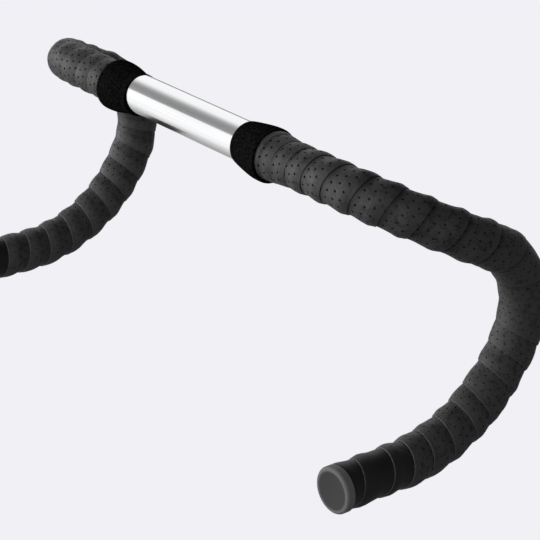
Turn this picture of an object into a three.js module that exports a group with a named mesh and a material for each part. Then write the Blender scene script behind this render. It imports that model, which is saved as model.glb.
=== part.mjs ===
// A drop handlebar with its tape on: one bent aluminium tube, bare in the middle where the stem
// clamps it, wound on both sides with overlapping turns of perforated tape, closed by a band at the
// inner end of each tape and by a rubber plug in the end of each drop. Millimetres, +Z up, +Y forward,
// +X to the rider's right. The origin is the middle of the tube, where the stem clamps it.
import * as THREE from 'three';
import { mergeVertices } from 'three/addons/utils/BufferGeometryUtils.js';

// The tube's centreline
const WIDTH = 400;                              // between the middles of the two drops
const TOP_BEND_RADIUS = 73;                     // from the flat top forward into the hook
const BEND_SLOPE = THREE.MathUtils.degToRad(26.5);  // the bend runs forward and down by this much
const HOOK_RADIUS = 49;                         // tighter bend at the front of the hook
const HOOK_ANGLE = THREE.MathUtils.degToRad(88.5);
const DROP_RADIUS = 102;                        // wide bend round to the level end
const DROP_LENGTH = 43;                         // straight, level end of the drop

// The tube's section
const CLAMP_RADIUS = 13;                        // 26.0 mm middle for the stem
const GRIP_RADIUS = 11.9;                       // 23.8 mm everywhere else
const WALL = 2;
const CLAMP_HALF_LENGTH = 74;
const TAPER_LENGTH = 20;

// The tape
const TAPE_THICKNESS = 1.35;                    // as stretched on the bar
const EDGE_WIDTH = 0.5;                         // rounding across the strip's free edge
const PITCH = 16.9;                             // advance of one turn along a straight drop
const BEND_PITCH = 6;                           // extra advance where the top bend meets the hook
const BEND_PITCH_AT = 242;
const BEND_PITCH_SPREAD = 58;
const CLOSING_PITCH = 9;                        // turns lie closer beside the closing band
const CLOSING_SPREAD = 34;
const FIRST_EDGE = 4;                           // first free edge, back from the end of the tube
const START_STEP = 15;                          // where round the tube the first edge starts
const TUCK_DEPTH = 14;                          // the strip's start, folded into the tube
const LIP = 1.5;                                // fold of the tape over the end of the tube

// The closing bands, by distance from the middle of the tube. The left one ends in a narrow ring
const RIGHT_BAND = { inner: 44, outer: 71, ring: 0, radius: 17.9 };
const LEFT_BAND = { inner: 65, outer: 93, ring: 6, radius: 17.1 };
const BAND_START_RADIUS = 14.7;                 // where it comes down onto the tube
const RING_RADIUS = 14.3;
const TAPE_UNDER_BAND = 13;                     // how far the tape runs in under its band
const PRESSED_RADIUS = 15;                      // the tape under the band
const PRESS_SLOPE = 0.28;                       // how fast the tape rises again beside its band
const PRESS_REACH = 4;
const BAND_FLARE = 1.1;                         // the band's rim, lifted by the tape under it
const BAND_CROWN = 9;                           // from the band's rim in to where it starts to fall

// The end plugs
const PLUG_RADIUS = 14.6;
const PLUG_THICKNESS = 6;
const PLUG_RIM = 2;
const PLUG_EDGE = 0.5;                          // bevel where the head meets the folded tape
const SHANK_RADIUS = 7.6;
const SHANK_LENGTH = 20;
const SHANK_WALL = 2.2;
const SHANK_TIP = 1;                            // bevel at the far end of the shank
const SHANK_RIBS = 4;
const RIB_HEIGHT = 0.4;
const RIB_RISE = 0.3;                           // each rib rises over this, to hold against pulling out
const RIB_LENGTH = 1.2;

// Fits and fineness
const GAP = 0.3;                                // clear space between pieces that touch
const SIDES = 16;
const TURNED_SIDES = 24;
const BEND_STEP = THREE.MathUtils.degToRad(15);

// The right-hand half of the centreline as stretches, each a straight or an arc
const FORWARD = new THREE.Vector3(0, Math.cos(BEND_SLOPE), -Math.sin(BEND_SLOPE));
const ACROSS = new THREE.Vector3(1, 0, 0);
const RISE = new THREE.Vector3().crossVectors(ACROSS, FORWARD);
const STRETCHES = [
  { length: WIDTH / 2 - TOP_BEND_RADIUS },
  { radius: TOP_BEND_RADIUS, angle: Math.PI / 2, towards: FORWARD },
  { radius: HOOK_RADIUS, angle: HOOK_ANGLE },
  { radius: DROP_RADIUS, angle: Math.PI - BEND_SLOPE - HOOK_ANGLE },
  { length: DROP_LENGTH },
];

let position = new THREE.Vector3();
let heading = ACROSS.clone();
let travelled = 0;
for (const stretch of STRETCHES) {
  stretch.start = travelled;
  stretch.from = position.clone();
  stretch.heading = heading.clone();
  if (stretch.radius) {
    const inward = stretch.towards ?? new THREE.Vector3().crossVectors(heading, ACROSS);
    stretch.inward = inward.clone().normalize();
    stretch.length = stretch.radius * stretch.angle;
    position.addScaledVector(heading, stretch.radius * Math.sin(stretch.angle));
    position.addScaledVector(stretch.inward, stretch.radius * (1 - Math.cos(stretch.angle)));
    heading.multiplyScalar(Math.cos(stretch.angle));
    heading.addScaledVector(stretch.inward, Math.sin(stretch.angle));
  } else {
    position.addScaledVector(heading, stretch.length);
  }
  travelled += stretch.length;
}
const HALF_LENGTH = travelled;

// Place on the tube's centreline and the two directions across it, at a distance from the middle
function place(distance) {
  const stretch = STRETCHES.findLast((each) => each.start <= distance);
  const along = distance - stretch.start;
  const centre = stretch.from.clone();
  const direction = stretch.heading.clone();
  if (stretch.radius) {
    const angle = along / stretch.radius;
    centre.addScaledVector(stretch.heading, stretch.radius * Math.sin(angle));
    centre.addScaledVector(stretch.inward, stretch.radius * (1 - Math.cos(angle)));
    direction.multiplyScalar(Math.cos(angle)).addScaledVector(stretch.inward, Math.sin(angle));
  } else {
    centre.addScaledVector(stretch.heading, along);
  }
  const past = distance > STRETCHES[2].start;
  const up = past ? new THREE.Vector3().crossVectors(ACROSS, direction) : RISE.clone();
  const side = new THREE.Vector3().crossVectors(direction, up);
  return { centre, up, side };
}

// A point at an angle round the tube. The left half mirrors the right
function around(distance, angle, radius, hand = 1) {
  const { centre, up, side } = place(distance);
  const point = centre.addScaledVector(up, radius * Math.cos(angle));
  point.addScaledVector(side, radius * Math.sin(angle));
  point.x *= hand;
  return point;
}

function ring(distance, radius, hand = 1) {
  const points = [];
  for (let side = 0; side < SIDES; side += 1) {
    points.push(around(distance, (2 * Math.PI * side) / SIDES, radius, hand));
  }
  return points;
}

// The tube's outer radius: thick for the clamp, then a smooth taper
function tubeRadius(distance) {
  const taper = THREE.MathUtils.smoothstep(distance, CLAMP_HALF_LENGTH, CLAMP_HALF_LENGTH + TAPER_LENGTH);
  return THREE.MathUtils.lerp(CLAMP_RADIUS, GRIP_RADIUS, taper);
}

// Where the tube needs a ring: at each end of a straight or taper, and every few degrees of a bend
function stations(from, to) {
  const found = new Set([from, to]);
  for (let step = 0; step <= 4; step += 1) {
    found.add(CLAMP_HALF_LENGTH + (TAPER_LENGTH * step) / 4);
  }
  for (const stretch of STRETCHES) {
    const steps = stretch.radius ? Math.ceil(stretch.angle / BEND_STEP) : 1;
    for (let step = 0; step < steps; step += 1) {
      found.add(stretch.start + (stretch.length * step) / steps);
    }
  }
  const inside = [...found].filter((distance) => distance >= from && distance <= to);
  return inside.sort((a, b) => a - b);
}

// Triangles between rings that follow each other
function loft(rings, triangles) {
  for (let index = 0; index + 1 < rings.length; index += 1) {
    for (let side = 0; side < SIDES; side += 1) {
      const next = (side + 1) % SIDES;
      const [a, b] = [rings[index][side], rings[index][next]];
      const [c, d] = [rings[index + 1][next], rings[index + 1][side]];
      triangles.push([a, b, c], [a, c, d]);
    }
  }
}

// One closed solid from loose triangles: shared corners joined, flat ones dropped, faces turned out
function solid(triangles) {
  const corners = new THREE.BufferGeometry().setFromPoints(triangles.flat());
  const joined = mergeVertices(corners, 1e-3);
  const index = joined.index.array;
  const spots = joined.attributes.position;
  const kept = [];
  let volume = 0;
  for (let at = 0; at < index.length; at += 3) {
    const [a, b, c] = [index[at], index[at + 1], index[at + 2]];
    if (a !== b && b !== c && c !== a) {
      kept.push([a, b, c]);
      const [p, q, r] = [a, b, c].map((corner) => new THREE.Vector3().fromBufferAttribute(spots, corner));
      volume += p.dot(q.cross(r));
    }
  }
  joined.setIndex(kept.flatMap((face) => (volume > 0 ? face : [face[0], face[2], face[1]])));
  joined.computeVertexNormals();
  return joined;
}

// Handlebar: outer skin from end to end, back through the bore, joined at the two cut ends
function handlebarGeometry() {
  const half = stations(0, HALF_LENGTH);
  const skin = (thinner) => {
    const right = half.map((distance) => ring(distance, tubeRadius(distance) - thinner));
    const left = half.slice(1).map((distance) => ring(distance, tubeRadius(distance) - thinner, -1));
    return [...left.reverse(), ...right];
  };
  const outside = skin(0);
  const bore = skin(WALL).reverse();
  const triangles = [];
  loft([...outside, ...bore, outside[0]], triangles);
  return solid(triangles);
}

// How far one turn of tape moves along the tube, at a distance from the middle
function turnPitch(distance, closing) {
  const bell = (offset, spread) => Math.exp(-((offset / spread) ** 2));
  const wider = BEND_PITCH * bell(distance - BEND_PITCH_AT, BEND_PITCH_SPREAD);
  const closer = CLOSING_PITCH * bell(distance - closing, CLOSING_SPREAD);
  return PITCH + wider - closer;
}

// The strip's free edge as a helix: its distance from the middle at each step round the tube, from
// two turns past the end of the drop to two turns past the inner end of the tape
function edgeHelix(inner) {
  const edge = [HALF_LENGTH + 2 * PITCH - FIRST_EDGE];
  while (edge.at(-1) > inner - 2 * PITCH) {
    edge.push(edge.at(-1) - turnPitch(edge.at(-1), inner) / SIDES);
  }
  return edge;
}

// Tape: each turn's free edge stands on the turn before it, and its other side dives under the next.
// Each row of a turn's section says where it lies, from the free edge or as a part of the exposed
// width, and how many layers of tape are there
const TURN_SECTION = [
  { across: 0, layers: 1.08 },
  { across: 2 * EDGE_WIDTH, layers: 2.02 },
  { part: 0.5, layers: 1.72 },
  { part: 0.9, layers: 1.12 },
];
const END_LAYERS = 1.3;

// Both tapes are wound the same way round as seen from the right, so on the left half, which mirrors
// the right, the angle runs backwards
function tapeGeometry(band, hand) {
  const innerEnd = band.outer - TAPE_UNDER_BAND;
  const outerEnd = HALF_LENGTH - GAP;
  const edge = edgeHelix(innerEnd);
  const tapeRadius = (distance, layers) => {
    const radius = tubeRadius(distance) + GAP + layers * TAPE_THICKNESS;
    const free = Math.max(0, distance - band.outer + PRESS_REACH);
    return Math.min(radius, PRESSED_RADIUS + PRESS_SLOPE * free);
  };
  const corner = (step, row) => {
    const { across, part, layers } = TURN_SECTION[row];
    const distance = edge[step] - (across ?? part * (edge[step] - edge[step + SIDES]));
    const held = THREE.MathUtils.clamp(distance, innerEnd, outerEnd);
    const radius = tapeRadius(held, held === distance ? layers : END_LAYERS);
    return around(held, (hand * 2 * Math.PI * (step + START_STEP)) / SIDES, radius, hand);
  };
  const triangles = [];
  const last = TURN_SECTION.length - 1;
  for (let step = 0; step + 2 * SIDES + 1 < edge.length; step += 1) {
    for (let row = 0; row <= last; row += 1) {
      const [a, b] = [corner(step, row), corner(step + 1, row)];
      const c = row < last ? corner(step + 1, row + 1) : corner(step + 1 + SIDES, 0);
      const d = row < last ? corner(step, row + 1) : corner(step + SIDES, 0);
      triangles.push(...(hand > 0 ? [[a, c, b], [a, d, c]] : [[a, b, c], [a, c, d]]));
    }
  }
  // the fold over the tube's end, the tuck inside it, then the strip's back along the tube
  const bore = GRIP_RADIUS - WALL;
  const end = HALF_LENGTH + LIP + GAP;
  const fold = [
    [outerEnd, tapeRadius(outerEnd, END_LAYERS)],
    [end - EDGE_WIDTH, GRIP_RADIUS + LIP],
    [end, GRIP_RADIUS + EDGE_WIDTH],
    [end, bore + EDGE_WIDTH],
    [end - EDGE_WIDTH, bore - LIP],
    [HALF_LENGTH - TUCK_DEPTH, bore - LIP],
    [HALF_LENGTH - TUCK_DEPTH, bore - GAP],
    [HALF_LENGTH + GAP, bore - GAP],
    [HALF_LENGTH + GAP, GRIP_RADIUS + GAP],
  ];
  const rings = fold.map(([distance, radius]) => ring(distance, radius, hand));
  for (const distance of stations(innerEnd, HALF_LENGTH).reverse()) {
    rings.push(ring(distance, tubeRadius(distance) + GAP, hand));
  }
  rings.push(ring(innerEnd, tapeRadius(innerEnd, END_LAYERS), hand));
  loft(rings, triangles);
  return solid(triangles);
}

// Closing band: stretched over the end of the tape and down onto the tube, with rounded rims
function bandGeometry({ inner, outer, ring: ringWidth, radius }) {
  const onTube = CLAMP_RADIUS + GAP;
  const overTape = PRESSED_RADIUS + GAP;
  const tapeStart = outer - TAPE_UNDER_BAND - GAP;
  const start = inner + ringWidth;
  const outline = [[onTube, inner]];
  if (ringWidth > 0) {
    outline.push([RING_RADIUS - EDGE_WIDTH, inner], [RING_RADIUS, inner + EDGE_WIDTH]);
    outline.push([RING_RADIUS, start - 2 * EDGE_WIDTH], [RING_RADIUS - EDGE_WIDTH, start - EDGE_WIDTH]);
  }
  outline.push([BAND_START_RADIUS - 2 * EDGE_WIDTH, start], [BAND_START_RADIUS, start + 2 * EDGE_WIDTH]);
  outline.push([radius - EDGE_WIDTH, outer - BAND_CROWN], [radius, outer - PRESS_REACH]);
  outline.push([radius - EDGE_WIDTH / 2, outer], [overTape + BAND_FLARE, outer]);
  outline.push([overTape, outer - 1.5 * PRESS_REACH]);
  outline.push([overTape, tapeStart], [onTube, tapeStart]);
  return lathe(outline);
}

// A ring or plug turned about its own +Y from a closed outline of radius and height
function lathe(outline) {
  const closed = [...outline, outline[0]].map(([radius, height]) => new THREE.Vector2(radius, height));
  const turned = new THREE.LatheGeometry(closed, TURNED_SIDES).toNonIndexed().attributes.position;
  const triangles = [];
  for (let at = 0; at < turned.count; at += 3) {
    triangles.push([0, 1, 2].map((step) => new THREE.Vector3().fromBufferAttribute(turned, at + step)));
  }
  return solid(triangles);
}

// End plug: a round-rimmed head and a hollow shank with ribs that grip the tucked tape
function plugGeometry() {
  const outline = [[0, PLUG_THICKNESS]];
  for (let step = 0; step <= 4; step += 1) {
    const angle = (Math.PI / 2) * (1 - step / 4);
    const out = PLUG_RADIUS - PLUG_RIM + PLUG_RIM * Math.cos(angle);
    outline.push([out, PLUG_THICKNESS - PLUG_RIM + PLUG_RIM * Math.sin(angle)]);
  }
  outline.push([PLUG_RADIUS, PLUG_EDGE], [PLUG_RADIUS - PLUG_EDGE, 0], [SHANK_RADIUS, 0]);
  const ribPitch = SHANK_LENGTH / (SHANK_RIBS + 1);
  for (let rib = 1; rib <= SHANK_RIBS; rib += 1) {
    const foot = -rib * ribPitch;
    outline.push([SHANK_RADIUS, foot + RIB_LENGTH], [SHANK_RADIUS + RIB_HEIGHT, foot + RIB_LENGTH - RIB_RISE]);
    outline.push([SHANK_RADIUS, foot]);
  }
  outline.push([SHANK_RADIUS, SHANK_TIP - SHANK_LENGTH], [SHANK_RADIUS - SHANK_TIP, -SHANK_LENGTH]);
  outline.push([SHANK_RADIUS - SHANK_WALL, -SHANK_LENGTH], [SHANK_RADIUS - SHANK_WALL, -SHANK_WALL]);
  outline.push([0, -SHANK_WALL]);
  return lathe(outline);
}

const polishedAluminium = { color: 0xd9dadc, roughness: 0.2, metalness: 1 };
const tapeSurface = { color: 0x2b2b2d, roughness: 0.85, metalness: 0 };
const bandSurface = { color: 0x0d0d0e, roughness: 0.95, metalness: 0 };
const plugSurface = { color: 0x3d3e40, roughness: 0.7, metalness: 0 };

const group = new THREE.Group();

function add(name, geometry, surface) {
  const mesh = new THREE.Mesh(geometry, new THREE.MeshStandardMaterial(surface));
  mesh.name = name;
  group.add(mesh);
  return mesh;
}

add('handlebar', handlebarGeometry(), polishedAluminium);

const end = place(HALF_LENGTH).centre;
for (const [side, hand, band] of [['right', 1, RIGHT_BAND], ['left', -1, LEFT_BAND]]) {
  add(`tape_${side}`, tapeGeometry(band, hand), tapeSurface);
  add(`finishing_band_${side}`, bandGeometry(band), bandSurface).rotation.z = (-hand * Math.PI) / 2;
  const plug = add(`end_plug_${side}`, plugGeometry(), plugSurface);
  plug.rotation.z = Math.PI;
  plug.position.set(hand * end.x, end.y - LIP - 2 * GAP, end.z);
}

export default group;
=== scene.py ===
import math
import bmesh
import bpy
import numpy as np
from mathutils import Matrix, Vector


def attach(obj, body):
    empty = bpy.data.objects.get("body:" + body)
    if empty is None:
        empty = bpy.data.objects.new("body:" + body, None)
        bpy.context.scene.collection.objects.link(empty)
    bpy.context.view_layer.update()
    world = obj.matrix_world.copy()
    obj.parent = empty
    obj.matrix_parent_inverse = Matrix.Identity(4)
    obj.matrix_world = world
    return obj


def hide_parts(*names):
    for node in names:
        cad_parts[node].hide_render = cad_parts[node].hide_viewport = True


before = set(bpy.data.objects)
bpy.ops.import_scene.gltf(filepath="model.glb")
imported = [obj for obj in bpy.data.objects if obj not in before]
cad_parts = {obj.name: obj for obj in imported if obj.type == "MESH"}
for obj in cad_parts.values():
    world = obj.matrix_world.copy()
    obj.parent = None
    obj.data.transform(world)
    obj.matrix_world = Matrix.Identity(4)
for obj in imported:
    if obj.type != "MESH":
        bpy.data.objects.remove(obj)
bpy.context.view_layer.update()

# A drop handlebar with its tape on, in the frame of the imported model: metres, +Z up, +Y forward and
# +X to the rider's right, with the origin in the middle of the clamp. It is held there by a stem.

# The camera
# It looks at the bar from behind and above its right-hand end, as the photograph does, through a
# long lens that crops the left drop and the outside of the right hook.
CAMERA_PLACE = (1.0094, -0.76977, 0.45577)
CAMERA_TURN = math.radians(50.6315)
CAMERA_DIP = math.radians(23.6843)
CAMERA_ROLL = math.radians(1.4489)
CAMERA_LENS = 142.274
CAMERA_SENSOR = 36

camera = bpy.data.objects.new("camera", bpy.data.cameras.new("camera"))
bpy.context.scene.collection.objects.link(camera)
bpy.context.scene.camera = camera
camera.data.sensor_width = CAMERA_SENSOR
camera.data.lens = CAMERA_LENS
aim = Matrix.Rotation(CAMERA_TURN, 4, "Z") @ Matrix.Rotation(math.pi / 2 - CAMERA_DIP, 4, "X")
camera.matrix_world = Matrix.Translation(CAMERA_PLACE) @ aim @ Matrix.Rotation(CAMERA_ROLL, 4, "Z")
bpy.context.scene.view_settings.view_transform = "Standard"

# The tube
# One aluminium tube, 26 mm thick in the middle for the stem and 23.8 mm under the tape, bent round
# into two hooks with level ends. Only its polished middle shows between the closing bands.
MM = 0.001
WIDTH = 400
TOP_BEND_RADIUS = 73
BEND_SLOPE = math.radians(26.5)
HOOK_RADIUS = 49
HOOK_ANGLE = math.radians(88.5)
DROP_RADIUS = 102
DROP_LENGTH = 43
CLAMP_RADIUS = 13
GRIP_RADIUS = 11.9
TUBE_WALL = 2
CLAMP_HALF_LENGTH = 74
TAPER_LENGTH = 20
TAPER_RINGS = 6
RING_SPACING = 4
TUBE_SIDES = 96
ACROSS = np.array([1.0, 0.0, 0.0])
FORWARD = np.array([0.0, math.cos(BEND_SLOPE), -math.sin(BEND_SLOPE)])
ALUMINIUM = [(0.3, (0.85, 0.86, 0.87)), (0.7, (0.93, 0.93, 0.94))]
# polishing lines a metre, along the tube and across it
POLISH_LINES = (14, 900, 900)


def lay_out(stretches):
    """Each stretch of the centreline, straight or an arc, with where it starts and how it heads."""
    place, heading, travelled = np.zeros(3), ACROSS, 0.0
    laid = []
    for radius, size, inward in stretches:
        inward = np.cross(heading, ACROSS) if radius and inward is None else inward
        laid.append((travelled, place, heading, radius, inward))
        if radius:
            place = place + radius * (math.sin(size) * heading + (1 - math.cos(size)) * inward)
            heading = math.cos(size) * heading + math.sin(size) * inward
            travelled += radius * size
        else:
            place = place + size * heading
            travelled += size
    return laid, travelled


STRETCHES, HALF_LENGTH = lay_out([
    (0, WIDTH / 2 - TOP_BEND_RADIUS, None),
    (TOP_BEND_RADIUS, math.pi / 2, FORWARD),
    (HOOK_RADIUS, HOOK_ANGLE, None),
    (DROP_RADIUS, math.pi - BEND_SLOPE - HOOK_ANGLE, None),
    (0, DROP_LENGTH, None),
])
HOOK_START = STRETCHES[2][0]


def around(distance, angle, radius, hand=1):
    """Points in metres at a distance from the middle, an angle round the tube and a radius, in mm."""
    distance, angle, radius = np.broadcast_arrays(distance, angle, np.asarray(radius, float))
    centre = np.zeros(distance.shape + (3,))
    heading = np.zeros(distance.shape + (3,))
    for start, place, toward, bend, inward in STRETCHES:
        here = (distance >= start) if start else np.ones(distance.shape, bool)
        along = (distance[here] - start)[:, None]
        if bend:
            turn = along / bend
            centre[here] = place + bend * (np.sin(turn) * toward + (1 - np.cos(turn)) * inward)
            heading[here] = np.cos(turn) * toward + np.sin(turn) * inward
        else:
            centre[here] = place + along * toward
            heading[here] = toward
    rise = np.cross(ACROSS, heading)
    rise[distance <= HOOK_START] = np.cross(ACROSS, FORWARD)
    side = np.cross(heading, rise)
    point = centre + radius[..., None] * (np.cos(angle)[..., None] * rise + np.sin(angle)[..., None] * side)
    return point * MM * (hand, 1, 1)


def smooth(value):
    """Rises from 0 to 1 with a soft start and end."""
    value = np.clip(value, 0, 1)
    return value * value * (3 - 2 * value)


def tube_radius(distance):
    """The tube's outer radius, which tapers from the clamp area to the grips."""
    taper = smooth((np.abs(distance) - CLAMP_HALF_LENGTH) / TAPER_LENGTH)
    return CLAMP_RADIUS + (GRIP_RADIUS - CLAMP_RADIUS) * taper


def ring_faces(rings, sides, closed=False):
    """Four-sided faces between rings of corners that follow each other."""
    last = rings if closed else rings - 1
    ring, side = np.meshgrid(np.arange(last), np.arange(sides), indexing="ij")
    beside, after = (side + 1) % sides, (ring + 1) % rings
    corners = [ring * sides + side, ring * sides + beside, after * sides + beside, after * sides + side]
    return np.stack(corners, -1).reshape(-1, 4)


def finish_piece(name, points, faces, material, crease=40, tidy=None, marks=None):
    """A closed, smooth-shaded piece that rides on the bar, with its faces turned outwards."""
    mesh = bpy.data.meshes.new(name)
    mesh.from_pydata([tuple(point) for point in points], [], [tuple(face) for face in faces])
    for mark, values in (marks or {}).items():
        mesh.attributes.new(mark, "FLOAT", "POINT").data.foreach_set("value", values)
    build = bmesh.new()
    build.from_mesh(mesh)
    if tidy:
        tidy(build)
    bmesh.ops.recalc_face_normals(build, faces=build.faces)
    build.to_mesh(mesh)
    build.free()
    mesh.shade_smooth()
    mesh.set_sharp_from_angle(angle=math.radians(crease))
    mesh.materials.append(material)
    piece = bpy.data.objects.new(name, mesh)
    bpy.context.scene.collection.objects.link(piece)
    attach(piece, "root")
    return piece


def new_material(name, **settings):
    """A material and its shader, with the settings that are the same all over it."""
    material = bpy.data.materials.new(name)
    material.use_nodes = True
    shader = material.node_tree.nodes["Principled BSDF"]
    for socket, value in settings.items():
        shader.inputs[socket.replace("_", " ")].default_value = value
    return material, shader


def add_node(material, kind, inputs=None, **settings):
    """A shader node with its settings, and its inputs set to numbers or linked to other nodes."""
    node = material.node_tree.nodes.new(kind)
    for name, value in settings.items():
        setattr(node, name, value)
    for name, value in (inputs or {}).items():
        if isinstance(value, bpy.types.NodeSocket):
            material.node_tree.links.new(value, node.inputs[name])
        else:
            node.inputs[name].default_value = value
    return node


def ramp(material, factor, stops):
    """A colour ramp over greys or colours, from a factor."""
    node = add_node(material, "ShaderNodeValToRGB", {"Fac": factor})
    elements = node.color_ramp.elements
    for place, colour in stops[2:]:
        elements.new(place)
    for element, (place, colour) in zip(elements, sorted(stops)):
        element.position = place
        element.color = (*colour, 1) if isinstance(colour, tuple) else (colour, colour, colour, 1)
    return node.outputs["Color"]


def bump(material, height, strength, distance, under=None):
    """A shading normal from a height, in metres, over another normal if there is one."""
    inputs = {"Height": height, "Strength": strength, "Distance": distance}
    if under:
        inputs["Normal"] = under
    return add_node(material, "ShaderNodeBump", inputs).outputs["Normal"]


polished, shader = new_material("polished aluminium", Metallic=1.0, Roughness=0.14)
where = add_node(polished, "ShaderNodeTexCoord").outputs["Object"]
streaks = add_node(polished, "ShaderNodeMapping", {"Vector": where, "Scale": POLISH_LINES})
lines = add_node(polished, "ShaderNodeTexNoise", {"Vector": streaks.outputs[0], "Scale": 1, "Detail": 4})
tone = ramp(polished, lines.outputs["Fac"], ALUMINIUM)
polished.node_tree.links.new(tone, shader.inputs["Base Color"])
gloss = add_node(polished, "ShaderNodeMapRange",
                 {"Value": lines.outputs["Fac"], "To Min": 0.11, "To Max": 0.19})
polished.node_tree.links.new(gloss.outputs["Result"], shader.inputs["Roughness"])
grain = bump(polished, lines.outputs["Fac"], 0.06, 0.0002)
polished.node_tree.links.new(grain, shader.inputs["Normal"])

stations = {0.0, HALF_LENGTH, *np.linspace(0, TAPER_LENGTH, TAPER_RINGS) + CLAMP_HALF_LENGTH}
ends = [stretch[0] for stretch in STRETCHES[1:]] + [HALF_LENGTH]
for (start, _, _, bend, _), end in zip(STRETCHES, ends):
    if bend:
        stations.update(np.linspace(start, end, 2 + int((end - start) / RING_SPACING)))
stations = np.array(sorted(stations))
to_middle, to_end = stations[::-1, None], stations[1:, None]
angles = np.linspace(0, 2 * math.pi, TUBE_SIDES, endpoint=False)
# along the outside from the left end to the right end, and back through the bore
skin = np.concatenate([
    around(to_middle, angles, tube_radius(to_middle), -1),
    around(to_end, angles, tube_radius(to_end)),
    around(to_middle, angles, tube_radius(to_middle) - TUBE_WALL),
    around(to_end, angles, tube_radius(to_end) - TUBE_WALL, -1),
])
tube = finish_piece("bar_tube", skin.reshape(-1, 3), ring_faces(len(skin), TUBE_SIDES, closed=True),
                    polished)
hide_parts("handlebar")

# The tape
# A strip of suede-like synthetic leather, 30 mm wide and perforated, wound under tension from the
# end of the drop to the middle. Each turn's free edge stands on the turn before it.
STRIP_WIDTH = 30
UNDERSIDE = 1.3
WOUND_RADIUS = 14
TUBE_GAP = 0.05
TAPE_PAST_END = 1.55
# how thick the stretched strip is, in mm, at distances in mm from the middle
RIGHT_THICKNESS = [(90, 1.38), (150, 1.5), (200, 1.5), (255, 1.7), (310, 1.58), (400, 1.62), (440, 1.6),
                   (470, 1.35)]
LEFT_THICKNESS = [(140, 1.2), (200, 1.2), (255, 1.1), (285, 1.2), (320, 1.5), (400, 1.62), (440, 1.6),
                  (470, 1.35)]
# where the free edge of each turn lies, in mm from the middle, at one angle round the tube
RIGHT_EDGES = [471, 447, 431.7, 416, 398.5, 379.5, 368, 346.5, 331, 316, 297, 274, 249.5, 229, 208.3,
               188, 170, 152, 132.5, 114.7, 99.5, 87, 76.5, 66.5]
LEFT_EDGES = [472, 455, 437, 419, 399, 381, 363, 347, 331, 314, 297, 279, 259, 238, 217, 197, 178,
              160, 142.5, 126, 111.5, 99.5, 89]
RIGHT_EDGE_ANGLE = math.radians(90)
LEFT_EDGE_ANGLE = math.radians(200)
LEAD_IN = 17
TABLE_STEPS = 64
UNUSED_TURNS = 0.6
# each turn rises in a soft step over the edges of the turns underneath, which squeeze together
FIRST_LAYER = 1.1
LAYER_LIFT = 0.9
STEP_LENGTH = 12
STEP_LEAD = 0.4
LAYER_SQUEEZE = 0.1
# the free edge is thinned, and less so on the drop, which starts at this distance and comes in softly
EDGE_DROP = 0.85
EDGE_ROUND = 6.0
EDGE_LEAD = 0.08
EDGE_FULLER = 0.25
DROP_START = 240
DROP_FADE = 60
# small waves from winding by hand
PULL = 0.12
RIPPLE = 0.06
RIPPLES_A_TURN = 5.37
# near the closing band the wrap lies lower on top, and inside the hook's bend it is pulled even
TOP_SUNK = 0.8
TOP_SUNK_TO = 75
TOP_SUNK_FADE = 50
BEND_EVENED = 0.85
BEND_MIDDLE = 283
BEND_SPREAD = 50
BEND_LAYERS = 2.05
# the closing band presses the wrap towards the tube, and the layers pile up beside it
PRESSED_RADIUS = 15
PRESS_ROOM = 0.5
PRESS_START = 1
PRESS_SLOPE = 0.65
PILED_LAYER = 0.3
PILE_LENGTH = 4
TAPE_UNDER_BAND = 13
# each closing band starts and ends here, with a bare ring this wide and this radius, in mm
RIGHT_BAND = (46.2, 73, 0, 17.6)
LEFT_BAND = (65, 93, 6, 17.1)
# the perforations lie in columns along the strip, each in a square of mesh with a broken edge
HOLE_RADIUS = 0.68
HOLE_DEPTH = 1.1
HOLE_LIP = 1.15
HOLE_BREAK = 0.12
HOLE_BREAK_DEPTH = 0.07
HOLES_A_TURN = 16.3
HOLE_COLUMNS = 5
HOLE_WAY_ROUND = 2 * math.pi * 14.2
HOLE_MARGIN = 1.5
FIRST_COLUMN = 2.6
COLUMN_WIDTH = 4.8
STEPS_A_TURN = 2 * HOLES_A_TURN
# they are pulled smaller on the first turns, and open to their full size over a few turns from here
PUNCH = 0.82
PUNCH_GAIN = 0.18
PUNCH_TURN = 14
PUNCH_FADE = 5
# the nap and the painted light on it: how many turns at the start are smooth, without perforations, and
# laid darker, how much painted shade lies at the foot of each edge and on top of the tops, and how strong
# the painted highlight beside the edges on the drop is
RIGHT_NAP_AND_PAINTED_LIGHT = {"smooth_turns": 4.2, "foot": 0.85, "top": 0.75, "margin_highlight": 0.04}
LEFT_NAP_AND_PAINTED_LIGHT = {"smooth_turns": 3.3, "foot": 0.45, "top": 0, "margin_highlight": 0.28}
# the painted shade on each turn beside the edge of the turn over it: its width and fade in mm, and how much
# less of it lies on the drop
FOOT_SHADE_WIDTH = 4.5
FOOT_SHADE_FADE = 4
FOOT_SHADE_LESS_ON_DROP = 0.7
# where the painted shade on top of the tops starts and ends, in mm from the middle, and how far round the
# top of the tube it reaches
TOPS_START = 110
TOPS_FADE_IN = 35
TOPS_END = 225
TOPS_FADE_OUT = 40
RIDGE = 0.8
RIDGE_FADE = 0.14
# how wide the painted highlight beside the free edges on the drop is, in mm
MARGIN_HIGHLIGHT_WIDTH = 5
CUT_WIDTH = 0.1
CUT_DEPTH = 0.4
NAP_WORN = [(0.75, (0.010, 0.010, 0.011)), (1.25, (0.058, 0.058, 0.060))]
# the dark colour of the smooth start, also laid as painted shade; the pale colour of the cut core, also
# laid as a painted highlight
DARK_START_AND_SHADE = (0.005, 0.005, 0.006, 1)
CUT_CORE_AND_HIGHLIGHT = (0.2, 0.2, 0.203, 1)


def bell(offset, spread):
    """1 at no offset, falling away on both sides."""
    return np.exp(-((offset / spread) ** 2))


def on_drop(distance):
    """0 along the tops, rising to 1 on the drop."""
    return smooth((distance - DROP_START) / DROP_FADE)


def on_top(turn, hand, start_angle):
    """1 along the top of the tops and the outside of the hook, falling to 0 on the far side."""
    return 0.5 + 0.5 * np.cos(start_angle + hand * 2 * math.pi * turn)


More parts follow.
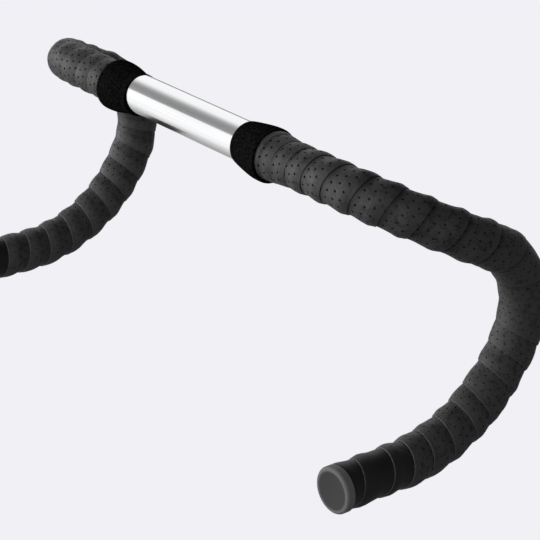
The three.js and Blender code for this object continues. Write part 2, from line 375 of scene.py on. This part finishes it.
def wind(edges):
    """The free edge's distance from the middle as a table of turns and distances, evened out."""
    last_gap = edges[-2] - edges[-1]
    known = [edges[0] + LEAD_IN * step for step in (3, 2, 1)] + edges
    known += [edges[-1] - last_gap * step for step in (1, 2, 3)]
    turns = np.arange(0, len(known) - 1, 1 / TABLE_STEPS)
    distance = np.interp(turns, np.arange(len(known)), known)
    soft = np.hanning(TABLE_STEPS + 2)[1:-1]
    padded = np.pad(distance, TABLE_STEPS // 2, mode="reflect", reflect_type="odd")
    evened = np.convolve(padded, soft / soft.sum(), mode="valid")[:len(turns)]
    return turns, evened


def tape_points(turn, across, depth, winding, thickness, band, hand, start_angle):
    """Where a point of the strip lies: turns wound, mm in from the free edge, mm below its face."""
    turns, edge = winding
    free = np.interp(turn, turns, edge)
    advance = np.interp(turn - 0.5, turns, edge) - np.interp(turn + 0.5, turns, edge)
    slant = np.arctan2(advance, 2 * math.pi * WOUND_RADIUS)
    distance = free - across * np.cos(slant)
    layers = FIRST_LAYER
    for older in (1, 2, 3):
        behind = np.interp(turn - older, turns, edge) - free
        layers = layers + LAYER_LIFT * smooth((STRIP_WIDTH - across - behind) / STEP_LENGTH + STEP_LEAD)
    thick = np.interp(distance, *zip(*thickness)) - LAYER_SQUEEZE * np.maximum(0, layers - 2)
    edge_drop = EDGE_DROP * (1 - EDGE_FULLER * on_drop(distance))
    skived = edge_drop * (1 - smooth(across / EDGE_ROUND + EDGE_LEAD))
    pull = PULL * np.sin(9.7 * turn + 0.35 * across) * np.sin(0.31 * across + 3.1 * turn)
    ripple = RIPPLE * np.sin(2 * math.pi * RIPPLES_A_TURN * turn + 0.5 * across + 2 * np.sin(1.7 * turn))
    radius = tube_radius(distance) + TUBE_GAP + layers * thick - skived + pull + ripple * smooth(across / 4)
    outward = on_top(turn, hand, start_angle)
    radius = radius - TOP_SUNK * outward * (1 - smooth((distance - TOP_SUNK_TO) / TOP_SUNK_FADE))
    evened = BEND_EVENED * (1 - outward) * bell(distance - BEND_MIDDLE, BEND_SPREAD)
    radius = radius + evened * (tube_radius(distance) + BEND_LAYERS * thick - radius)
    band_end = band[1]
    beside = np.maximum(0, distance - band_end + PRESS_START)
    piled = PILED_LAYER * layers * smooth((distance - band_end + PILE_LENGTH) / PILE_LENGTH)
    radius = np.minimum(radius, PRESSED_RADIUS - PRESS_ROOM + piled + PRESS_SLOPE * beside)
    way_round = 2 * math.pi * turn - across * np.sin(slant) / radius
    angle = start_angle + hand * way_round
    return around(distance, angle, radius - depth * (thick - skived) / thick, hand)


def strip_grid(winding, last_turn, smooth_turns):
    """Corners and faces of the strip in turns wound, mm across and mm deep, with its perforations."""
    edge_rows = [(0.0, UNDERSIDE), (-0.02, 0.7), (0.12, 0.2), (0.5, 0.0), (1.6, 0.0)]
    centres = [FIRST_COLUMN + COLUMN_WIDTH * (column + 0.5) for column in range(HOLE_COLUMNS)]
    lines = [(FIRST_COLUMN + COLUMN_WIDTH * row / 2, 0.0) for row in range(2 * HOLE_COLUMNS + 1)]
    under = [(STRIP_WIDTH, 0.1), (STRIP_WIDTH, 1.2)] + [(mm, UNDERSIDE) for mm in (24, 18, 12, 6)]
    section = np.array(edge_rows + lines + under)
    first = len(edge_rows)
    rows, steps = len(section), int(last_turn * STEPS_A_TURN)
    step = np.arange(steps + 1)
    turn = np.repeat(step / STEPS_A_TURN, rows)
    across = np.tile(section[:, 0], steps + 1)
    depth = np.tile(section[:, 1], steps + 1)

    def at(step, row):
        return step * rows + row % rows

    plain_rows = [row for row in range(rows) if not first <= row < first + 2 * HOLE_COLUMNS]
    faces = []
    for row in plain_rows:
        quads = [at(step[:-1], row), at(step[1:], row), at(step[1:], row + 1), at(step[:-1], row + 1)]
        faces.append(np.stack(quads, -1))
    turns, edge = winding
    holes = []
    for column in range(HOLE_COLUMNS):
        low = first + 2 * column
        middle = np.arange(1 + column % 2, steps - 1, 2)
        where = middle / STEPS_A_TURN
        shown = np.interp(where, turns, edge) - np.interp(where + 1, turns, edge) + HOLE_MARGIN
        punched = (centres[column] < shown) & (where > smooth_turns)
        loop = [(-1, 0), (0, 0), (1, 0), (1, 1), (1, 2), (0, 2), (-1, 2), (-1, 1)]
        rim = np.stack([at(middle + i, low + j) for i, j in loop], -1)
        holes.append((rim[punched], where[punched], np.full(punched.sum(), centres[column])))
        for k in range(1, 8, 2):
            corners = [rim[:, k], rim[:, (k + 1) % 8], rim[:, (k + 2) % 8], at(middle, low + 1)]
            faces.append(np.stack(corners, -1)[~punched])
    rim, where, centre = [np.concatenate(each) for each in zip(*holes)]
    compass = np.radians([-135, -90, -45, 0, 45, 90, 135, 180])
    ring_start = len(turn)
    previous = rim
    punch = PUNCH + PUNCH_GAIN * smooth((where[:, None] - PUNCH_TURN) / PUNCH_FADE)
    for radius, deep in ((HOLE_LIP, 0.0), ((HOLE_RADIUS + HOLE_BREAK) * punch, HOLE_BREAK_DEPTH * punch),
                         (HOLE_RADIUS * punch, HOLE_DEPTH * punch)):
        ring = ring_start + np.arange(len(rim) * 8).reshape(-1, 8)
        turn = np.append(turn, (where[:, None] + radius * np.cos(compass) / HOLE_WAY_ROUND).ravel())
        across = np.append(across, (centre[:, None] + radius * np.sin(compass)).ravel())
        depth = np.append(depth, np.broadcast_to(deep, ring.shape))
        beside, inner = np.roll(previous, -1, 1), np.roll(ring, -1, 1)
        faces.append(np.stack([previous, beside, inner, ring], -1).reshape(-1, 4))
        previous, ring_start = ring, ring_start + ring.size
    return turn, across, depth, faces, previous


def nap_and_light_marks(turn, across, depth, winding, hand, start_angle, nap):
    """Where the strip is cut, where its nap is smooth, and where painted shade and a painted highlight lie
    on it.
    """
    free = np.interp(turn, *winding)
    shown = free - np.interp(turn + 1, *winding)
    distance = free - across
    drop = on_drop(distance)
    # painted shade on each turn beside the free edge of the turn that lies over it, where that step shades
    # it; less on the drop
    foot = nap["foot"] * (1 - FOOT_SHADE_LESS_ON_DROP * drop) * smooth((across - shown + FOOT_SHADE_WIDTH) / FOOT_SHADE_FADE)
    # painted shade on top of the right tops, between the band and the bend, where little light falls from
    # above
    on_tops = smooth((distance - TOPS_START) / TOPS_FADE_IN)
    on_tops = on_tops * (1 - smooth((distance - TOPS_END) / TOPS_FADE_OUT))
    top_shade = nap["top"] * on_tops * smooth((on_top(turn, hand, start_angle) - RIDGE) / RIDGE_FADE)
    # a painted highlight beside the free edges on the drop, where the raised margins catch the light
    margin_highlight = nap["margin_highlight"] * drop * (1 - smooth((across - MARGIN_HIGHLIGHT_WIDTH) / MARGIN_HIGHLIGHT_WIDTH))
    # the cut edge shows its pale core on the drop; on the tops it is painted dark as shade, since the cut
    # edges there face away from the light
    cut = ((across < CUT_WIDTH) & (depth > CUT_DEPTH)).astype(float)
    unperforated = 1 - smooth((turn - nap["smooth_turns"] + 0.1) / 0.25)
    # the first mark lays the pale colour: the cut core and the painted highlight; the second lays the dark
    # colour: the smooth start and painted shade
    return {"cut_core_and_highlight": np.maximum(cut, margin_highlight) * drop,
            "dark_start_and_shade": np.maximum.reduce([unperforated, foot, top_shade, cut * (1 - drop)])}


def cut_strip(band, hand):
    """Cuts the strip square at the tube's end and under its closing band, and closes the cuts."""
    end = around(np.array(HALF_LENGTH + TAPE_PAST_END), np.array(0.0), 0.0, hand)
    inner = (band[1] - TAPE_UNDER_BAND) * MM * hand

    def cut(build):
        bmesh.ops.remove_doubles(build, verts=build.verts, dist=1e-7)
        for place, away in ((end, (0, -1, 0)), ((inner, 0, 0), (-hand, 0, 0))):
            everything = build.verts[:] + build.edges[:] + build.faces[:]
            bmesh.ops.bisect_plane(build, geom=everything, plane_co=place, plane_no=away, clear_outer=True)
        loose = [vertex for vertex in build.verts if not vertex.link_faces]
        bmesh.ops.delete(build, geom=loose, context="VERTS")
        open_edges = [each for each in build.edges if each.is_boundary]
        bmesh.ops.holes_fill(build, edges=open_edges, sides=0)
        wide = [face for face in build.faces if len(face.verts) > 4]
        bmesh.ops.triangulate(build, faces=wide)
    return cut


def blend(material, factor, under, over):
    """One colour that gives way to another as the factor goes from 0 to 1."""
    node = add_node(material, "ShaderNodeMix", {"Factor": factor, 6: under, 7: over}, data_type="RGBA")
    return node.outputs[2]


suede, shader = new_material("perforated suede tape", Roughness=0.5, Sheen_Weight=0.1,
                             Sheen_Roughness=0.45, Specular_IOR_Level=0.5)
where = add_node(suede, "ShaderNodeTexCoord").outputs["Object"]
nap = add_node(suede, "ShaderNodeTexNoise", {"Vector": where, "Scale": 900, "Detail": 6, "Roughness": 0.7})
patches = add_node(suede, "ShaderNodeTexNoise", {"Vector": where, "Scale": 210, "Detail": 4})
creases = add_node(suede, "ShaderNodeTexVoronoi", {"Vector": where, "Scale": 1500},
                   feature="DISTANCE_TO_EDGE")
worn = add_node(suede, "ShaderNodeMath", {0: patches.outputs["Fac"], 1: nap.outputs["Fac"]},
                operation="ADD")
tone = ramp(suede, worn.outputs[0], NAP_WORN)
# the pale cut core and a painted highlight beside the drop's edges, and the dark smooth start and painted
# shade, laid over the nap's tone
core_and_highlight_mark = add_node(suede, "ShaderNodeAttribute", attribute_name="cut_core_and_highlight").outputs["Fac"]
start_and_shade_mark = add_node(suede, "ShaderNodeAttribute", attribute_name="dark_start_and_shade").outputs["Fac"]
dark_start_and_shade = blend(suede, start_and_shade_mark, tone, DARK_START_AND_SHADE)
suede.node_tree.links.new(blend(suede, core_and_highlight_mark, dark_start_and_shade, CUT_CORE_AND_HIGHLIGHT), shader.inputs["Base Color"])
pile = bump(suede, nap.outputs["Fac"], 0.45, 0.0003)
pore = bump(suede, creases.outputs["Distance"], 0.2, 0.0002, under=pile)
suede.node_tree.links.new(pore, shader.inputs["Normal"])

for side, hand, band, edges, start_angle, thickness, nap in (
        ("right", 1, RIGHT_BAND, RIGHT_EDGES, RIGHT_EDGE_ANGLE, RIGHT_THICKNESS, RIGHT_NAP_AND_PAINTED_LIGHT),
        ("left", -1, LEFT_BAND, LEFT_EDGES, LEFT_EDGE_ANGLE, LEFT_THICKNESS, LEFT_NAP_AND_PAINTED_LIGHT)):
    winding = wind(edges)
    last_turn = winding[0][-1] - UNUSED_TURNS
    turn, across, depth, faces, floors = strip_grid(winding, last_turn, nap["smooth_turns"])
    points = tape_points(turn, across, depth, winding, thickness, band, hand, start_angle)
    marks = nap_and_light_marks(turn, across, depth, winding, hand, start_angle, nap)
    tape = finish_piece(f"wound_tape_{side}", points, np.concatenate(faces).tolist() + floors.tolist(),
                        suede, crease=55, tidy=cut_strip(band, hand), marks=marks)
    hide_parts(f"tape_{side}")

# The closing bands
# A narrow black velvety tape, stretched over the cut end of the wrap and down onto the bare tube.
# Pressed down by hand, it sits a little low on the bar.
BAND_START_RADIUS = 14.5
BAND_LEAN = (0, -0.0002, -0.0008)
LEAN_FROM = 13.3
LEAN_OVER_RING = 0.9
LEAN_OVER_WRAP = 4
RING_RADIUS = 14.3
BORE_RADIUS = CLAMP_RADIUS + 0.05
LINING_RADIUS = PRESSED_RADIUS + 0.35
TURNED_SIDES = 160
VELVET = [(0.35, (0.003, 0.003, 0.003)), (0.7, (0.02, 0.02, 0.02))]


def turned(outline, place, axis):
    """A closed outline of radius and distance along an axis, turned about it: corners and faces."""
    angles = np.linspace(0, 2 * math.pi, TURNED_SIDES, endpoint=False)
    axis = Vector(axis)
    first = axis.orthogonal().normalized()
    second = axis.cross(first)
    outline = np.array(outline)
    out = np.cos(angles)[:, None] * np.array(first) + np.sin(angles)[:, None] * np.array(second)
    points = outline[:, 0, None, None] * out[None] + outline[:, 1, None, None] * np.array(axis)
    faces = ring_faces(len(outline), TURNED_SIDES, closed=True)
    return np.array(place) + points.reshape(-1, 3) * MM, faces


def rounded(outline, times=3):
    """An outline with its corners cut off again and again, so that they turn smoothly."""
    outline = np.array(outline, float)
    for _ in range(times):
        after = np.roll(outline, -1, 0)
        cuts = [0.75 * outline + 0.25 * after, 0.25 * outline + 0.75 * after]
        outline = np.stack(cuts, 1).reshape(-1, 2)
    return outline


velvet, shader = new_material("black velvet band", Roughness=0.95, Specular_IOR_Level=0.0)
where = add_node(velvet, "ShaderNodeTexCoord").outputs["Object"]
pile = add_node(velvet, "ShaderNodeTexNoise", {"Vector": where, "Scale": 700, "Detail": 5})
velvet.node_tree.links.new(ramp(velvet, pile.outputs["Fac"], VELVET), shader.inputs["Base Color"])
velvet.node_tree.links.new(bump(velvet, pile.outputs["Fac"], 0.6, 0.0004), shader.inputs["Normal"])

for side, hand, (inner, outer, ring, radius) in (("right", 1, RIGHT_BAND), ("left", -1, LEFT_BAND)):
    start = inner + ring
    outline = [(BORE_RADIUS, inner)]
    if ring:
        outline += [(RING_RADIUS - 0.3, inner), (RING_RADIUS, inner + 0.8), (RING_RADIUS, start - 1.2),
                    (RING_RADIUS - 0.7, start - 0.2)]
    outline += [(BAND_START_RADIUS - 0.7, start), (BAND_START_RADIUS, start + 1.2),
                (radius - 0.3, outer - 10), (radius, outer - 3), (radius - 0.2, outer - 0.3),
                (radius - 1.2, outer), (LINING_RADIUS, outer - 1.5),
                (LINING_RADIUS, outer - TAPE_UNDER_BAND - 0.3), (BORE_RADIUS, outer - TAPE_UNDER_BAND - 1)]
    outline = rounded(outline)
    points, faces = turned(outline, (0, 0, 0), (hand, 0, 0))
    lean_over = LEAN_OVER_RING if ring else LEAN_OVER_WRAP
    off_tube = np.clip((np.repeat(outline[:, 0], TURNED_SIDES) - LEAN_FROM) / lean_over, 0, 1)
    points = points + off_tube[:, None] * BAND_LEAN
    band = finish_piece(f"closing_band_{side}", points, faces, velvet, crease=60)
    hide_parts(f"finishing_band_{side}")

# The end plugs
# Moulded rubber, pushed into the tube's end over the tucked start of the tape: a flat head with a
# rounded rim, and a ribbed hollow shank.
PLUG_RADIUS = 14.6
PLUG_THICKNESS = 6
PLUG_RIM = 1.8
PLUG_GAP = 1.7
PLUG_WALL = 2.2
RIM_INSIDE = 11.5
DISH_RADIUS = 9.0
DISH_EDGE = 11.2
DISH_DEPTH = 0.25
SHANK_RADIUS = 7.6
SHANK_LENGTH = 20
SHANK_RIBS = 4
RIB_HEIGHT = 0.4
CENTRE_RADIUS = 0.01
RUBBER_FACE = [(0.35, (0.033, 0.033, 0.035)), (0.7, (0.05, 0.05, 0.053))]
# the rounded rim and the side of the head are paler: partly a paler grey rubber, partly a painted highlight
# where the rim catches the light
RUBBER_RIM_AND_HIGHLIGHT = [(0.35, (0.18, 0.18, 0.184)), (0.7, (0.26, 0.26, 0.266))]

rubber, shader = new_material("plug rubber", Roughness=0.55, Specular_IOR_Level=0.4)
where = add_node(rubber, "ShaderNodeTexCoord").outputs["Object"]
speck = add_node(rubber, "ShaderNodeTexNoise", {"Vector": where, "Scale": 1400, "Detail": 4})
tone = ramp(rubber, speck.outputs["Fac"], RUBBER_FACE)
paler_and_highlit = ramp(rubber, speck.outputs["Fac"], RUBBER_RIM_AND_HIGHLIGHT)
rim_highlight_mark = add_node(rubber, "ShaderNodeAttribute", attribute_name="rim").outputs["Fac"]
rubber.node_tree.links.new(blend(rubber, rim_highlight_mark, tone, paler_and_highlit), shader.inputs["Base Color"])
rubber.node_tree.links.new(bump(rubber, speck.outputs["Fac"], 0.3, 0.00015), shader.inputs["Normal"])

for side, hand in (("right", 1), ("left", -1)):
    face = PLUG_THICKNESS - DISH_DEPTH
    outline = [(CENTRE_RADIUS, face), (DISH_RADIUS, face), (DISH_EDGE, PLUG_THICKNESS)]
    for part in np.linspace(0, 1, 9):
        angle = math.pi / 2 * (1 - part)
        outline.append((PLUG_RADIUS - PLUG_RIM * (1 - math.cos(angle)),
                        PLUG_THICKNESS - PLUG_RIM * (1 - math.sin(angle))))
    outline += [(PLUG_RADIUS, 0.5), (PLUG_RADIUS - 0.5, 0), (SHANK_RADIUS, 0)]
    for rib in range(1, SHANK_RIBS + 1):
        foot = -rib * SHANK_LENGTH / (SHANK_RIBS + 1)
        outline += [(SHANK_RADIUS, foot + 1.2), (SHANK_RADIUS + RIB_HEIGHT, foot + 0.9),
                    (SHANK_RADIUS, foot)]
    outline += [(SHANK_RADIUS - 1, -SHANK_LENGTH), (SHANK_RADIUS - PLUG_WALL, -SHANK_LENGTH),
                (SHANK_RADIUS - PLUG_WALL, -PLUG_WALL), (CENTRE_RADIUS, -PLUG_WALL)]
    place = around(np.array(HALF_LENGTH + PLUG_GAP), np.array(0.0), 0.0, hand)
    points, faces = turned(outline, place, (0, -1, 0))
    # where the paler rim colour, partly a painted highlight, goes
    rim = [float(radius > RIM_INSIDE and height > 0) for radius, height in outline]
    plug = finish_piece(f"bar_end_plug_{side}", points, faces, rubber, crease=35,
                        marks={"rim": np.repeat(rim, TURNED_SIDES)})
    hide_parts(f"end_plug_{side}")

# The studio
# A plain pale floor well below the bar, running up into a pale sweep, and one soft light all round:
# bright low down on the left, softer from behind, and dim overhead and on the right.
FLOOR_DROP = 0.9
SWEEP_RADIUS = 6
SWEEP_SPOKES = 64
SWEEP_RINGS = 24
PALE = (0.886, 0.879, 0.922)
# brightness by height, from the front below, round behind and over the top: what the tube mirrors,
# and what comes from the far left and from straight behind
MIRRORED = [(-180, 0.28), (-97, 0.43), (-75, 0.60), (-58, 0.78), (-44, 1.02), (28, 1.04), (33, 0.26),
            (54, 0.26), (68, 0.32), (80, 0.44), (92, 0.74), (106, 1.05), (170, 1.05), (176, 0.3)]
FROM_LEFT = [(-180, 1.3), (-150, 0.6), (-120, 0.1), (-60, 0.1), (-15, 3.3), (30, 2.3), (60, 0.35),
             (85, 0.05), (145, 0.05), (160, 0.5), (180, 1.3)]
FROM_BEHIND = [(-180, 0.1), (-25, 0.1), (0, 0.6), (30, 1.05), (60, 0.13), (85, 0.05), (150, 0.05),
               (180, 0.1)]
FROM_RIGHT = (0.16, 0.16, 0.16, 1)
# the part of the surroundings that the tube mirrors, from the far left, 0, to the far right, 1
MIRRORED_PART = [(0.0, 0.0), (0.07, 0.0), (0.095, 1.0), (0.155, 1.0), (0.19, 0.0)]


def stage_piece(name, points, faces, lit):
    """A piece of the pale surroundings that shines by itself, apart from its lit share."""
    mesh = bpy.data.meshes.new(name)
    mesh.from_pydata(points, [], faces)
    mesh.shade_smooth()
    colour = (*[lit * part for part in PALE], 1)
    paper, _ = new_material(name, Base_Color=colour, Roughness=1, Specular_IOR_Level=0,
                            Emission_Color=(*PALE, 1), Emission_Strength=1 - 0.5 * lit)
    mesh.materials.append(paper)
    piece = bpy.data.objects.new(name, mesh)
    bpy.context.scene.collection.objects.link(piece)
    piece.visible_diffuse = False
    piece.visible_glossy = False
    return piece


def share_of(material, value, low, high):
    """How far a value has come from low to high, as 0 to 1."""
    node = add_node(material, "ShaderNodeMapRange", {"Value": value, "From Min": low, "From Max": high})
    return node.outputs["Result"]


sweep = []
for ring in range(SWEEP_RINGS + 1):
    lift = math.pi / 2 * ring / SWEEP_RINGS
    for spoke in range(SWEEP_SPOKES):
        turn = 2 * math.pi * spoke / SWEEP_SPOKES
        sweep.append((SWEEP_RADIUS * math.cos(lift) * math.cos(turn),
                      SWEEP_RADIUS * math.cos(lift) * math.sin(turn),
                      SWEEP_RADIUS * math.sin(lift) - FLOOR_DROP))
dome = stage_piece("sweep", sweep, ring_faces(SWEEP_RINGS + 1, SWEEP_SPOKES).tolist(), 0.0)
dome.visible_shadow = False
stage_piece("floor", sweep[:SWEEP_SPOKES], [tuple(range(SWEEP_SPOKES))], 0.04)

world = bpy.data.worlds.new("studio light")
world.use_nodes = True
bpy.context.scene.world = world
direction = add_node(world, "ShaderNodeTexCoord").outputs["Generated"]
toward = add_node(world, "ShaderNodeSeparateXYZ", {"Vector": direction}).outputs
rear = add_node(world, "ShaderNodeMath", {0: toward["Y"], 1: -1.0}, operation="MULTIPLY")
height = add_node(world, "ShaderNodeMath", {0: toward["Z"], 1: rear.outputs[0]}, operation="ARCTAN2")
level = share_of(world, height.outputs[0], -math.pi, math.pi)
mirrored, left, behind = [
    ramp(world, level, [((degrees + 180) / 360, brightness) for degrees, brightness in levels])
    for levels in (MIRRORED, FROM_LEFT, FROM_BEHIND)]
soft = blend(world, share_of(world, toward["X"], -1.0, 0.0), left, behind)
soft = blend(world, share_of(world, toward["X"], 0.0, 1.0), soft, FROM_RIGHT)
in_tube = ramp(world, share_of(world, toward["X"], -1.0, 1.0), MIRRORED_PART)
light = blend(world, in_tube, soft, mirrored)
world.node_tree.links.new(light, world.node_tree.nodes["Background"].inputs["Color"])
